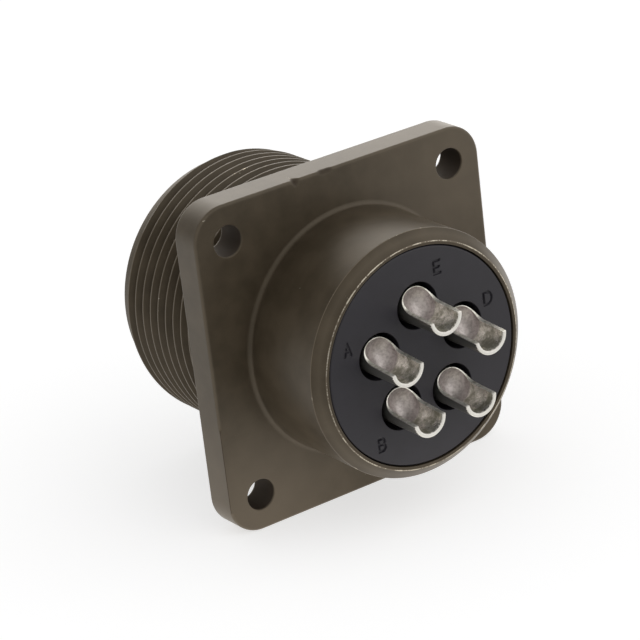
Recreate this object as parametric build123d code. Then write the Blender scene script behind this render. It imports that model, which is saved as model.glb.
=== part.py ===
from build123d import *
from math import cos, radians, sin
import os

# Box mounting connector receptacle with five turned pin contacts.
# Millimetres. The connector's axis is Y. The origin is on that axis, in the rear face of the flange,
# which is the face that sits on the panel. The solder cups point to -Y, the mating side to +Y.
# +Z points to the keyway. Positions along the axis are called stations.

# Mounting flange
FLANGE_WIDTH = 34.5
FLANGE_THICKNESS = 3.6
FLANGE_CORNER_RADIUS = 3.6
FLANGE_EDGE_RADIUS = 0.2
HOLE_TO_EDGE = 3.7625
HOLE_DIAMETER = 3.2
HOLE_EDGE_BREAK = 0.12

# Rear barrel, behind the flange
BARREL_WALL = 1.45
BARREL_LENGTH = 11.2
BARREL_CHAMFER = 1.1
BARREL_ROOT_RADIUS = 0.6

# Mating barrel, in front of the flange. The helix of the thread lies inside the major diameter.
MATING_LENGTH = 19.05
THREAD_MAJOR_DIAMETER = 28.5
THREAD_RELIEF_WIDTH = 1.6
THREAD_RELIEF_DEPTH = 0.95
PILOT_STEP = 1.1
PILOT_LENGTH = 1.35
PILOT_EDGE_BREAK = 0.2
MATING_WALL = 2.1
CAVITY_EDGE_BREAK = 0.3
KEYWAY_WIDTH = 2.4
KEYWAY_DEPTH = 0.55

# Insulator, in two halves that close on the collars of the contacts
INSERT_REAR_RECESS = 0.1
INSERT_EDGE_RADIUS = 0.2
INSERT_REAR_GAP = 0.25
SHOULDER_WIDTH = 0.95
SHOULDER_STATION = 1.0
REAR_RIM_THICKNESS = 2.0
FRONT_INSERT_THICKNESS = 6.0
INSERT_CLEARANCE = 0.1
KEY_CLEARANCE = 0.1
WELL_DIAMETER = 4.76
WELL_DEPTH = 7.0
SHANK_HOLE_COUNTERSINK = 0.3

# Split ring that holds the insulator against the shoulder
RING_THICKNESS = 1.0
RING_GROOVE_DEPTH = 0.6
RING_GROOVE_CLEARANCE = 0.1
RING_WIDTH = 1.3
RING_GAP_ANGLE = 24

# Contacts
CONTACT_NAMES = ("a", "b", "c", "d", "e")
CONTACT_CIRCLE_DIAMETER = 10.6
FIRST_CONTACT_ANGLE = 162
CONTACT_CLEARANCE = 0.06
SHANK_DIAMETER = 3.2
PIN_DIAMETER = 2.39
PIN_TIP_RECESS = 2.4
PIN_TIP_RADIUS = 0.9
COLLAR_DIAMETER = 4.4
COLLAR_THICKNESS = 1.6
COLLAR_EDGE_BREAK = 0.15
CUP_DIAMETER = 3.74
CUP_PROJECTION = 4.6
CUP_BORE_DIAMETER = 2.94
CUP_STRAIGHT_BORE_DEPTH = 3.5
CUP_TURN = 4

# The cut that opens the side of a cup: its floor rises from the tip and ends in a round
SCOOP_BELOW_AXIS = 0.1
SCOOP_FLOOR_LENGTH = 3.15
SCOOP_FLOOR_RISE = 0.25
SCOOP_RADIUS = 1.9

# Radii and stations that follow from the sizes above
HOLE_OFFSET = FLANGE_WIDTH / 2 - HOLE_TO_EDGE
THREAD_RADIUS = THREAD_MAJOR_DIAMETER / 2
PILOT_RADIUS = THREAD_RADIUS - PILOT_STEP
CAVITY_RADIUS = THREAD_RADIUS - MATING_WALL
REAR_BORE_RADIUS = CAVITY_RADIUS - SHOULDER_WIDTH
BARREL_RADIUS = REAR_BORE_RADIUS + BARREL_WALL
INSERT_REAR_RADIUS = REAR_BORE_RADIUS - INSERT_REAR_GAP
INSERT_RIM_RADIUS = CAVITY_RADIUS - INSERT_CLEARANCE
RIM_STATION = FLANGE_THICKNESS + MATING_LENGTH
REAR_FACE_STATION = -BARREL_LENGTH + INSERT_REAR_RECESS
SPLIT_STATION = SHOULDER_STATION + REAR_RIM_THICKNESS
FRONT_FACE_STATION = SPLIT_STATION + FRONT_INSERT_THICKNESS
WELL_BOTTOM_STATION = REAR_FACE_STATION + WELL_DEPTH
CUP_TIP_STATION = REAR_FACE_STATION - CUP_PROJECTION
PIN_TIP_STATION = RIM_STATION - PIN_TIP_RECESS
OVERCUT = 1.0
SIZE_TOLERANCE = 0.01


def facing_rear(station):
    """Plane across the axis, seen from behind: local X is X and local Y is Z."""
    return Plane(origin=(0, station, 0), x_dir=(1, 0, 0), z_dir=(0, -1, 0))


def cylinder_between(radius, start, end):
    """Round bar on the axis from the start station to the end station."""
    return extrude(facing_rear(start) * Circle(radius), amount=start - end)


def turned(points):
    """Solid of revolution about the axis, from (radius, station) points."""
    return revolve(make_face(Polyline(*points, close=True)), Axis.Y)


def contact_centres():
    """Centre of each contact as (X, Z), in the order of the contact names."""
    circle = PolarLocations(CONTACT_CIRCLE_DIAMETER / 2, len(CONTACT_NAMES), FIRST_CONTACT_ANGLE)
    return [(place.position.X, place.position.Y) for place in circle]


def at_contacts(solid):
    """Copy of a solid on the axis at every contact centre."""
    return [Pos(x, 0, z) * solid for x, z in contact_centres()]


def key_bar(width, reach, start, end):
    """Bar along the key at the top, from the axis out to the given reach."""
    outline = Pos(0, reach / 2) * Rectangle(width, reach)
    return extrude(facing_rear(start) * outline, amount=start - end)


def flange():
    """Square plate with rounded corners and edges and four screw holes."""
    outline = RectangleRounded(FLANGE_WIDTH, FLANGE_WIDTH, FLANGE_CORNER_RADIUS)
    plate = extrude(facing_rear(0) * outline, amount=-FLANGE_THICKNESS)
    rims = plate.edges().filter_by(lambda edge: edge.bounding_box().size.Y < FLANGE_THICKNESS / 2)
    plate = fillet(rims, FLANGE_EDGE_RADIUS)
    hole = cylinder_between(HOLE_DIAMETER / 2, 0, FLANGE_THICKNESS)
    for x in (-HOLE_OFFSET, HOLE_OFFSET):
        for z in (-HOLE_OFFSET, HOLE_OFFSET):
            plate -= Pos(x, 0, z) * hole
    screw_edges = [
        edge
        for edge in plate.edges().filter_by(GeomType.CIRCLE)
        if abs(edge.radius - HOLE_DIAMETER / 2) < SIZE_TOLERANCE
    ]
    return chamfer(screw_edges, HOLE_EDGE_BREAK)


def shell():
    """One machined piece: flange, rear barrel, threaded barrel, bores, keyway and ring groove."""
    relief = THREAD_RADIUS - THREAD_RELIEF_DEPTH
    relief_end = FLANGE_THICKNESS + THREAD_RELIEF_WIDTH
    pilot_start = RIM_STATION - PILOT_LENGTH
    outside = turned(
        [
            (0, -BARREL_LENGTH),
            (BARREL_RADIUS - BARREL_CHAMFER, -BARREL_LENGTH),
            (BARREL_RADIUS, -BARREL_LENGTH + BARREL_CHAMFER),
            (BARREL_RADIUS, FLANGE_THICKNESS / 2),
            (relief, FLANGE_THICKNESS / 2),
            (relief, relief_end - THREAD_RELIEF_DEPTH),
            (THREAD_RADIUS, relief_end),
            (THREAD_RADIUS, pilot_start - PILOT_STEP),
            (PILOT_RADIUS, pilot_start),
            (PILOT_RADIUS, RIM_STATION - PILOT_EDGE_BREAK),
            (PILOT_RADIUS - PILOT_EDGE_BREAK, RIM_STATION),
            (0, RIM_STATION),
        ]
    )
    body = flange() + outside
    root = [
        edge
        for edge in body.edges().filter_by(GeomType.CIRCLE)
        if abs(edge.radius - BARREL_RADIUS) < SIZE_TOLERANCE and abs(edge.center().Y) < SIZE_TOLERANCE
    ]
    body = fillet(root, BARREL_ROOT_RADIUS)

    body -= cylinder_between(REAR_BORE_RADIUS, -BARREL_LENGTH - OVERCUT, RIM_STATION)
    body -= turned(
        [
            (0, SHOULDER_STATION),
            (CAVITY_RADIUS, SHOULDER_STATION),
            (CAVITY_RADIUS, RIM_STATION - CAVITY_EDGE_BREAK),
            (CAVITY_RADIUS + CAVITY_EDGE_BREAK, RIM_STATION),
            (0, RIM_STATION),
        ]
    )
    body -= key_bar(KEYWAY_WIDTH, CAVITY_RADIUS + KEYWAY_DEPTH, SHOULDER_STATION, RIM_STATION + OVERCUT)
    groove_start = FRONT_FACE_STATION
    groove_end = FRONT_FACE_STATION + RING_THICKNESS + RING_GROOVE_CLEARANCE
    body -= cylinder_between(CAVITY_RADIUS + RING_GROOVE_DEPTH, groove_start, groove_end)
    return body


def key_lug(start, end):
    """Lug on an insert that runs in the keyway of the shell."""
    width = KEYWAY_WIDTH - 2 * KEY_CLEARANCE
    return key_bar(width, CAVITY_RADIUS + KEYWAY_DEPTH - KEY_CLEARANCE, start, end)


def rear_insert():
    """Rear half of the insulator, with a well round each solder cup."""
    body = cylinder_between(INSERT_REAR_RADIUS, REAR_FACE_STATION, SHOULDER_STATION)
    rear_edge = body.edges().filter_by(GeomType.CIRCLE).sort_by(Axis.Y)[0]
    body = fillet(rear_edge, INSERT_EDGE_RADIUS)
    body += cylinder_between(INSERT_RIM_RADIUS, SHOULDER_STATION, SPLIT_STATION)
    body += key_lug(SHOULDER_STATION, SPLIT_STATION)
    cup_hole = CUP_DIAMETER / 2 + CONTACT_CLEARANCE
    passage = cylinder_between(cup_hole, WELL_BOTTOM_STATION, SPLIT_STATION)
    passage += cylinder_between(WELL_DIAMETER / 2, REAR_FACE_STATION, WELL_BOTTOM_STATION)
    return body - at_contacts(passage)


def front_insert():
    """Front half of the insulator, with a pocket for each collar and a hole for each shank."""
    body = cylinder_between(INSERT_RIM_RADIUS, SPLIT_STATION, FRONT_FACE_STATION)
    front_edge = body.edges().filter_by(GeomType.CIRCLE).sort_by(Axis.Y)[-1]
    body = fillet(front_edge, INSERT_EDGE_RADIUS)
    body += key_lug(SPLIT_STATION, FRONT_FACE_STATION - INSERT_EDGE_RADIUS)
    pocket = COLLAR_DIAMETER / 2 + CONTACT_CLEARANCE
    hole = SHANK_DIAMETER / 2 + CONTACT_CLEARANCE
    pocket_bottom = SPLIT_STATION + COLLAR_THICKNESS
    passage = turned(
        [
            (0, SPLIT_STATION),
            (pocket, SPLIT_STATION),
            (pocket, pocket_bottom),
            (hole, pocket_bottom),
            (hole, FRONT_FACE_STATION - SHANK_HOLE_COUNTERSINK),
            (hole + SHANK_HOLE_COUNTERSINK, FRONT_FACE_STATION),
            (0, FRONT_FACE_STATION),
        ]
    )
    return body - at_contacts(passage)


def retaining_ring():
    """Flat split ring that springs into the groove in front of the insulator."""
    outer = CAVITY_RADIUS + RING_GROOVE_DEPTH - RING_GROOVE_CLEARANCE
    inner = outer - RING_WIDTH
    start = FRONT_FACE_STATION
    end = FRONT_FACE_STATION + RING_THICKNESS
    ring = cylinder_between(outer, start, end) - cylinder_between(inner, start, end)
    half = radians(RING_GAP_ANGLE / 2)
    reach = 2 * outer
    wedge = make_face(
        Polyline(
            (0, 0),
            (reach * sin(half), -reach * cos(half)),
            (-reach * sin(half), -reach * cos(half)),
            close=True,
        )
    )
    return ring - extrude(facing_rear(start) * wedge, amount=start - end)


def contact_blank():
    """Turned bar on the axis: solder cup's barrel, collar, shank and the thinner pin that stands free."""
    barrel = CUP_DIAMETER / 2
    collar = COLLAR_DIAMETER / 2
    shank = SHANK_DIAMETER / 2
    pin = PIN_DIAMETER / 2
    collar_end = SPLIT_STATION + COLLAR_THICKNESS
    blank = turned(
        [
            (0, CUP_TIP_STATION),
            (barrel, CUP_TIP_STATION),
            (barrel, SPLIT_STATION),
            (collar - COLLAR_EDGE_BREAK, SPLIT_STATION),
            (collar, SPLIT_STATION + COLLAR_EDGE_BREAK),
            (collar, collar_end - COLLAR_EDGE_BREAK),
            (collar - COLLAR_EDGE_BREAK, collar_end),
            (shank, collar_end),
            (shank, FRONT_FACE_STATION),
            (pin, FRONT_FACE_STATION + shank - pin),
            (pin, PIN_TIP_STATION),
            (0, PIN_TIP_STATION),
        ]
    )
    tip = blank.edges().filter_by(GeomType.CIRCLE).sort_by(Axis.Y)[-1]
    return fillet(tip, PIN_TIP_RADIUS)


def scoop():
    """Cutter for the open side of a cup: a floor that rises from the tip, then a round to the outside."""
    floor_start = CUP_TIP_STATION - OVERCUT
    floor_end = CUP_TIP_STATION + SCOOP_FLOOR_LENGTH
    floor_height = SCOOP_FLOOR_RISE - SCOOP_BELOW_AXIS
    start_height = floor_height - SCOOP_FLOOR_RISE / SCOOP_FLOOR_LENGTH * (floor_end - floor_start)
    above_cup = CUP_DIAMETER / 2 + OVERCUT
    outline = make_face(
        Polyline(
            (floor_start, start_height),
            (floor_end, floor_height),
            (floor_end, above_cup),
            (floor_start, above_cup),
            close=True,
        )
    )
    outline += Pos(floor_end, floor_height + SCOOP_RADIUS) * Circle(SCOOP_RADIUS)
    return extrude(Plane.YZ * outline, amount=CUP_DIAMETER / 2 + OVERCUT, both=True)


def contact():
    """Contact on the axis. Its solder cup has a round bottomed bore and an open upper side."""
    bore = CUP_BORE_DIAMETER / 2
    bore_end = CUP_TIP_STATION + CUP_STRAIGHT_BORE_DEPTH
    drill = cylinder_between(bore, CUP_TIP_STATION, bore_end) + Pos(0, bore_end, 0) * Sphere(bore)
    return contact_blank() - drill - scoop()


def main():
    """Write one STEP file for each piece."""
    pieces = {
        "shell": shell(),
        "rear_insert": rear_insert(),
        "front_insert": front_insert(),
        "retaining_ring": retaining_ring(),
    }
    turned_contact = Rot(0, -CUP_TURN, 0) * contact()
    for name, placed in zip(CONTACT_NAMES, at_contacts(turned_contact)):
        pieces[f"contact_{name}"] = placed
    os.makedirs("parts", exist_ok=True)
    for name, solid in pieces.items():
        export_step(solid, f"parts/{name}.step")


main()
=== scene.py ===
"""Box mounting connector receptacle: its detailed pieces, finishes, light and camera.

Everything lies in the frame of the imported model: the connector's axis is Y, the solder cups point
to -Y, the mating side to +Y and the keyway to +Z. Sizes are in millimetres until a mesh is closed.
A station is a place along Y. Angles round the axis start at +X and run anticlockwise as seen from
the solder cups.
"""

import logging
from collections.abc import Iterable, Sequence
from dataclasses import dataclass, field
from enum import Enum
from itertools import pairwise
from math import acos, asin, atan2, cos, hypot, pi, radians, sin, sqrt, tan

import bmesh
import bpy
from mathutils import Matrix, Vector


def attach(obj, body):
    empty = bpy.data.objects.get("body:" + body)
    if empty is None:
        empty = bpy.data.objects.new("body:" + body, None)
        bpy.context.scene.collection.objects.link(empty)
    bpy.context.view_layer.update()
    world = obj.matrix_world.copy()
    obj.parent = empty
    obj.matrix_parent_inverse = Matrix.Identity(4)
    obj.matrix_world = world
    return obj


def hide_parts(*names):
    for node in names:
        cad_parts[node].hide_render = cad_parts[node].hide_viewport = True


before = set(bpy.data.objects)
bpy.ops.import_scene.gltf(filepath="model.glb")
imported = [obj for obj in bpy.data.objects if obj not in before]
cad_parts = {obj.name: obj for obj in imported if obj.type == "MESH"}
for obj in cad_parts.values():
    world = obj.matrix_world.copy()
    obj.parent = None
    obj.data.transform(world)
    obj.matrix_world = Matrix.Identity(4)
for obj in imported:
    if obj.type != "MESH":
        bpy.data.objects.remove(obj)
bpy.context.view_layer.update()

log = logging.getLogger("receptacle")

MM = 0.001
TURN = 2 * pi
# Name of the value at each point that the finishes read. Above 0 it is wear. Below 0 it makes places dull,
# and on the shell's holes and dents and on the cups' outsides it is painted shade.
WORN = "worn"
WHITE = "#ffffff"

Point = tuple[float, float, float]
Pair = tuple[float, float]
Colour = tuple[float, float, float, float]
Profile = list[Point]
Loop = list[int]
Stroke = list[Pair]
Tree = bpy.types.NodeTree
Node = bpy.types.Node
Socket = bpy.types.NodeSocket
Source = Node | Socket | float | Colour
Inputs = dict[int | str, object]


def linear(colour: str) -> Colour:
    """Turns an sRGB hex colour into linear light.

    Args:
        colour: Hash sign and six hex digits.

    Returns:
        Red, green, blue and an alpha of 1.
    """
    channels = (int(colour[i : i + 2], 16) / 255 for i in (1, 3, 5))
    red, green, blue = (c / 12.92 if c <= 0.04045 else ((c + 0.055) / 1.055) ** 2.4 for c in channels)
    return red, green, blue, 1.0


def limited(share: float) -> float:
    """Share that stays between 0 and 1."""
    return min(max(share, 0.0), 1.0)


def eased(share: float) -> float:
    """Share that stays between 0 and 1 and leaves both ends smoothly."""
    share = limited(share)
    return share * share * (3 - 2 * share)


def half_chord(radius: float, height: float) -> float:
    """Half the width of a circle at a height above its centre, or 0 outside it."""
    return sqrt(max(radius**2 - height**2, 0.0))


def on_circle(radius: float, angle: float, station: float) -> Point:
    """Point at a radius and an angle, in radians, round the connector's axis."""
    return radius * cos(angle), station, radius * sin(angle)


def distance_to_segment(x: float, z: float, start: Pair, end: Pair) -> float:
    """Distance from a point to a straight line between two others.

    Args:
        x: Place of the point across.
        z: Place of the point upwards.
        start: Start of the line.
        end: End of the line.

    Returns:
        The distance.
    """
    x0, z0 = start
    dx, dz = end[0] - x0, end[1] - z0
    share = limited(((x - x0) * dx + (z - z0) * dz) / (dx * dx + dz * dz))
    return hypot(x - x0 - share * dx, z - z0 - share * dz)


def add_object(name: str, data: bpy.types.ID) -> bpy.types.Object:
    """Makes an object and links it to the scene.

    Args:
        name: Name of the object.
        data: Its mesh, light or camera.

    Returns:
        The object.
    """
    made = bpy.data.objects.new(name, data)
    bpy.context.scene.collection.objects.link(made)
    return made


def add_node(tree: Tree, kind: str, inputs: Inputs | None = None, **settings: object) -> Node:
    """Adds a node, sets it and links it.

    Args:
        tree: Tree that gets the node.
        kind: Type name of the node, without the ShaderNode that it starts with.
        inputs: What each input gets, by its name or number: a value, an output socket, or a node
            whose first output in use is linked.
        **settings: Properties of the node.

    Returns:
        The new node.
    """
    made = tree.nodes.new("ShaderNode" + kind)
    for name, value in settings.items():
        setattr(made, name, value)
    for key, value in (inputs or {}).items():
        if isinstance(value, Node):
            value = next(output for output in value.outputs if output.enabled)
        if isinstance(value, Socket):
            tree.links.new(value, made.inputs[key])
        else:
            made.inputs[key].default_value = value
    return made


def pattern(where: Source, size: float, detail: float) -> Inputs:
    """Inputs of a noise at the place given, with features this many millimetres across."""
    return {"Vector": where, "Scale": 1 / (size * MM), "Detail": detail}


def ramp(value: Source, start: float, end: float, low: float = 0.0, high: float = 1.0) -> Inputs:
    """Inputs of a range that runs from low to high while the value runs from start to end."""
    return {"Value": value, "From Min": start, "From Max": end, "To Min": low, "To Max": high}


class Layering(Enum):
    """What is laid over each other: the data type of the mix nodes and their lower input."""

    NUMBERS = ("FLOAT", 2)
    COLOURS = ("RGBA", 6)


def layered(
    tree: Tree, layering: Layering, lowest: Source, layers: Iterable[tuple[Source, Source]]
) -> Source:
    """Lays numbers or colours over each other.

    Args:
        tree: Tree that gets the nodes.
        layering: Whether they are numbers or colours.
        lowest: Number or colour at the bottom.
        layers: Share and number or colour of each layer, from the bottom up.

    Returns:
        The node of the top layer.
    """
    data_type, lower = layering.value
    for share, layer in layers:
        lowest = add_node(tree, "Mix", {0: share, lower: lowest, lower + 1: layer}, data_type=data_type)
    return lowest


def relief(tree: Tree, where: Source, size: float, height: float, detail: float = 2.0) -> Node:
    """Adds the nodes of a fine, uneven relief.

    Args:
        tree: Tree that gets the nodes.
        where: Place on the piece.
        size: Width of a bump in millimetres.
        height: Height of a bump in millimetres.
        detail: Number of finer layers in it.

    Returns:
        The node for the shader's normal.
    """
    bumps = add_node(tree, "TexNoise", pattern(where, size, detail))
    return add_node(tree, "Bump", {"Strength": 1.0, "Distance": height * MM, "Height": bumps})


def new_material(name: str) -> tuple[bpy.types.Material, Tree, Socket]:
    """Starts a material.

    Args:
        name: Name of the material.

    Returns:
        The material, its node tree, and a socket that gives the place on the piece in metres.
    """
    made = bpy.data.materials.new(name)
    made.use_nodes = True
    made.node_tree.nodes.clear()
    return made, made.node_tree, add_node(made.node_tree, "TexCoord").outputs["Object"]


def add_surface(tree: Tree, inputs: Inputs) -> None:
    """Adds the principled shader, with what its inputs get, and the output of the material."""
    shader = add_node(tree, "BsdfPrincipled", inputs)
    add_node(tree, "OutputMaterial", {"Surface": shader})


@dataclass(frozen=True)
class Corner:
    """Corner of a profile that is turned round an axis, with its rounding and its wear."""

    radius: float
    station: float
    rounding: float = 0.0
    worn: float = 0.0


def rounded_profile(corners: Sequence[Corner], steps: int = 4) -> Profile:
    """Rounds the corners of a turned profile.

    Args:
        corners: Corners in order. The first and the last stay sharp.
        steps: Number of short lines in each rounding.

    Returns:
        Radius, station and wear of each point. The wear is greatest in the middle of a rounding.
    """
    profile = [(corners[0].radius, corners[0].station, corners[0].worn)]
    for before, corner, after in zip(corners, corners[1:], corners[2:]):
        here = Vector((corner.radius, corner.station))
        if corner.rounding == 0:
            profile.append((corner.radius, corner.station, corner.worn))
            continue
        back = (Vector((before.radius, before.station)) - here).normalized()
        ahead = (Vector((after.radius, after.station)) - here).normalized()
        half = back.angle(ahead) / 2
        centre = here + (back + ahead).normalized() * corner.rounding / sin(half)
        start = here + back * corner.rounding / tan(half) - centre
        end = here + ahead * corner.rounding / tan(half) - centre
        for step in range(steps + 1):
            share = step / steps
            spot = centre + start.slerp(end, share).normalized() * corner.rounding
            profile.append((spot.x, spot.y, corner.worn * sin(pi * share)))
    profile.append((corners[-1].radius, corners[-1].station, corners[-1].worn))
    return profile


class Draft:
    """A mesh being drawn in millimetres, with a wear value at each point."""

    MERGE_DISTANCE = 1e-4
    SHARP_ANGLE = radians(38)
    BREAK_SEGMENTS = 2

    def __init__(self) -> None:
        """Starts with nothing drawn."""
        self.points: list[Point] = []
        self.worn: list[float] = []
        self.faces: list[tuple[int, ...]] = []
        self.fills: list[tuple[Loop, ...]] = []

    def add(self, point: Point, worn: float = 0.0) -> int:
        """Adds a point.

        Args:
            point: Its place in millimetres.
            worn: Its wear value.

        Returns:
            Its number.
        """
        self.points.append(point)
        self.worn.append(worn)
        return len(self.points) - 1

    def loop(self, points: Iterable[Point], worn: float = 0.0) -> Loop:
        """Adds points that share one wear value and returns their numbers."""
        return [self.add(point, worn) for point in points]

    def strip(self, first: Sequence[int], second: Sequence[int], closed: bool = True) -> None:
        """Joins two rows of as many points with a band of four-sided faces.

        Args:
            first: Numbers of the points of one row.
            second: Numbers of the points of the other row.
            closed: Whether the last points join the first ones.
        """
        count = len(first)
        for i in range(count if closed else count - 1):
            j = (i + 1) % count
            self.faces.append((first[i], first[j], second[j], second[i]))

    def skin(self, rows: Iterable[Sequence[int]], closed: bool = True) -> None:
        """Joins each row to the next one with a strip."""
        for first, second in pairwise(rows):
            self.strip(first, second, closed)

    def fill(self, *loops: Loop) -> None:
        """Asks for a flat face inside the first loop, with the other loops left open."""
        self.fills.append(loops)

    def turn(self, profile: Profile, columns: int, centre: Pair = (0.0, 0.0)) -> tuple[Loop, Loop]:
        """Turns a profile round an axis along Y.

        Args:
            profile: Radius, station and wear of each point.
            columns: Number of points round the axis.
            centre: X and Z of the axis.

        Returns:
            The first and the last loop.
        """
        loops = []
        for radius, station, worn in profile:
            ring = (on_circle(radius, TURN * i / columns, station) for i in range(columns))
            loops.append(self.loop(((x + centre[0], y, z + centre[1]) for x, y, z in ring), worn))
        self.skin(loops)
        return loops[0], loops[-1]

    def solid(self, edge_break: float) -> bmesh.types.BMesh:
        """Joins what is drawn into one closed skin, still in millimetres.

        Args:
            edge_break: Width of the rounding on every sharp edge, or 0 for none.

        Returns:
            The skin.
        """
        bm = bmesh.new()
        layer = bm.verts.layers.float.new(WORN)
        verts = [bm.verts.new(point) for point in self.points]
        for vert, worn in zip(verts, self.worn):
            vert[layer] = worn
        for face in self.faces:
            bm.faces.new([verts[i] for i in face])
        for loops in self.fills:
            edges = []
            for loop in loops:
                for pair in ((verts[i], verts[j]) for i, j in zip(loop, loop[1:] + loop[:1])):
                    edges.append(bm.edges.get(pair) or bm.edges.new(pair))
            bmesh.ops.triangle_fill(bm, use_beauty=True, use_dissolve=False, edges=edges)
        bmesh.ops.remove_doubles(bm, verts=bm.verts, dist=self.MERGE_DISTANCE)
        bmesh.ops.dissolve_degenerate(bm, edges=bm.edges, dist=self.MERGE_DISTANCE)
        bmesh.ops.recalc_face_normals(bm, faces=bm.faces)
        if edge_break:
            joins = [edge for edge in bm.edges if len(edge.link_faces) == 2]
            bmesh.ops.bevel(
                bm,
                geom=[edge for edge in joins if edge.calc_face_angle() > self.SHARP_ANGLE],
                offset=edge_break,
                segments=self.BREAK_SEGMENTS,
                profile=0.5,
                affect="EDGES",
                clamp_overlap=True,
            )
        return bm

    def close(self, name: str, material: bpy.types.Material, edge_break: float = 0.0) -> bpy.types.Object:
        """Makes the object, in metres, with smooth shading between its sharp edges.

        Args:
            name: Name of the piece.
            material: Its finish.
            edge_break: Width of the rounding on every sharp edge, or 0 for none.

        Returns:
            The object, linked to the scene.
        """
        bm = self.solid(edge_break)
        open_edges = sum(len(edge.link_faces) != 2 for edge in bm.edges)
        if open_edges:
            log.warning("%s has %d open edges", name, open_edges)
        bmesh.ops.scale(bm, vec=(MM, MM, MM), verts=bm.verts)
        mesh = bpy.data.meshes.new(name)
        bm.to_mesh(mesh)
        bm.free()
        mesh.shade_smooth()
        mesh.set_sharp_from_angle(angle=self.SHARP_ANGLE)
        mesh.materials.append(material)
        drawn = add_object(name, mesh)
        drawn.modifiers.new("even shading", "WEIGHTED_NORMAL").keep_sharp = True
        bpy.context.view_layer.update()
        shaded = drawn.evaluated_get(bpy.context.evaluated_depsgraph_get())
        drawn.data = bpy.data.meshes.new_from_object(shaded)
        drawn.modifiers.clear()
        drawn.data.name = name
        return drawn


@dataclass(frozen=True)
class PalePatch:
    """Round patch where the film is painted paler.

    The share says how pale the middle is, from 0 to 1. The sizes are in millimetres.
    """

    centre: Point
    reach: float
    share: float


@dataclass(frozen=True)
class OliveDrabPlate:
    """Olive drab chromate over cadmium plate on machined aluminium.

    The chromate film is a thin dark skin with a warm satin gloss. Handling rubs it to a paler brown
    where an edge stands out and wears it through to the bright plate in specks. In the drilled holes,
    in dents and on one knocked stretch of edge it is painted dark and dull, as painted shade. A wear
    value of 1 is the most worn, and one of -1 the darkest painted shade and the dullest.
    """

    name: str = "OliveDrabChromatedCadmium"
    film: str = "#4b4235"
    film_dark: str = "#3f372b"
    # Pale film on rubbed edges and in the pale patches; at the lower left that patch is painted bounce light.
    film_pale: str = "#6f6557"
    # Painted shade: the dark film colour put in the flange's holes, in dents and on one stretch of its edge.
    film_painted_shade: str = "#2b2018"
    plate: str = "#cbc4b4"
    gloss: str = "#f8ecda"
    roughness: float = 0.38
    dull_roughness: float = 0.8
    plate_roughness: float = 0.34
    # The bath colours the film in faint clouds, a few millimetres across.
    cloud_size: float = 2.6
    cloud_range: Pair = (0.35, 0.65)
    # Rubbed stretches of an edge are about 2 mm long, and the specks in them 0.2 mm wide.
    patch_size: float = 1.9
    speck_size: float = 0.2
    # The plate's own grain is finer than 0.05 mm and is drawn as coarse as it needs to show.
    grain_size: float = 0.16
    grain_height: float = 0.004
    # Pale patches: at the lower left a painted pool of bounce light from the table, at the upper right a
    # lighter film.
    pale_patches: tuple[PalePatch, ...] = (
        PalePatch((-13.5, 3.0, -15.0), 15.5, 0.66),
        PalePatch((14.0, 1.0, 13.5), 17.0, 0.45),
    )

    FULLY_RUBBED = 0.6
    BARE_START = 0.9
    BARE_END = 1.1
    PATCH_SWING = 2.2
    SPECK_SWING = 1.8

    def pale_patch_shares(self, tree: Tree, where: Source) -> list[Node]:
        """Adds the nodes that say where the film is painted paler.

        Args:
            tree: Node tree of the material.
            where: Place on the piece.

        Returns:
            For each pale patch a node, highest in its middle.
        """
        found = []
        for spot in self.pale_patches:
            centre = tuple(value * MM for value in spot.centre)
            away = add_node(tree, "VectorMath", {0: where, 1: centre}, operation="DISTANCE")
            fall = ramp(away, 0.0, spot.reach * MM, spot.share, 0.0)
            found.append(add_node(tree, "MapRange", fall, interpolation_type="SMOOTHSTEP"))
        return found

    def bare(self, tree: Tree, where: Source, worn: Source) -> Node:
        """Adds the nodes that say where the film is worn through.

        Args:
            tree: Node tree of the material.
            where: Place on the piece.
            worn: Wear value.

        Returns:
            A node that is 1 on bare plate and 0 on the film.
        """
        level = worn
        for size, swing in ((self.patch_size, self.PATCH_SWING), (self.speck_size, self.SPECK_SWING)):
            uneven = add_node(tree, "TexNoise", pattern(where, size, 2.0))
            swung = add_node(tree, "Math", {0: uneven, 1: swing, 2: -swing / 2}, operation="MULTIPLY_ADD")
            level = add_node(tree, "Math", {0: level, 1: swung}, operation="ADD")
        return add_node(tree, "MapRange", ramp(level, self.BARE_START, self.BARE_END))

    def material(self) -> bpy.types.Material:
        """Builds the node material.

        Returns:
            The material.
        """
        made, tree, where = new_material(self.name)
        worn = add_node(tree, "Attribute", attribute_name=WORN).outputs["Fac"]
        cloud = add_node(tree, "TexNoise", pattern(where, self.cloud_size, 5.0))
        clouded = add_node(tree, "MapRange", ramp(cloud, *self.cloud_range))
        rubbed = add_node(tree, "MapRange", ramp(worn, 0.0, self.FULLY_RUBBED))
        # Painted shade: where the wear value falls below 0 the film is made dark and dull.
        dull = add_node(tree, "MapRange", ramp(worn, 0.0, -1.0))
        bare = self.bare(tree, where, worn)
        layers = (
            (clouded, self.film),
            # The pale patches paint bounce light at the lower left and lighten the film at the upper right.
            *((thin, self.film_pale) for thin in self.pale_patch_shares(tree, where)),
            (rubbed, self.film_pale),
            (dull, self.film_painted_shade),
            (bare, self.plate),
        )
        colours = ((share, linear(colour)) for share, colour in layers)
        roughnesses = ((dull, self.dull_roughness), (bare, self.plate_roughness))
        add_surface(
            tree,
            {
                "Base Color": layered(tree, Layering.COLOURS, linear(self.film_dark), colours),
                "Metallic": bare,
                "Roughness": layered(tree, Layering.NUMBERS, self.roughness, roughnesses),
                "Specular Tint": linear(self.gloss),
                "Normal": relief(tree, where, self.grain_size, self.grain_height),
            },
        )
        return made


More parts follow.
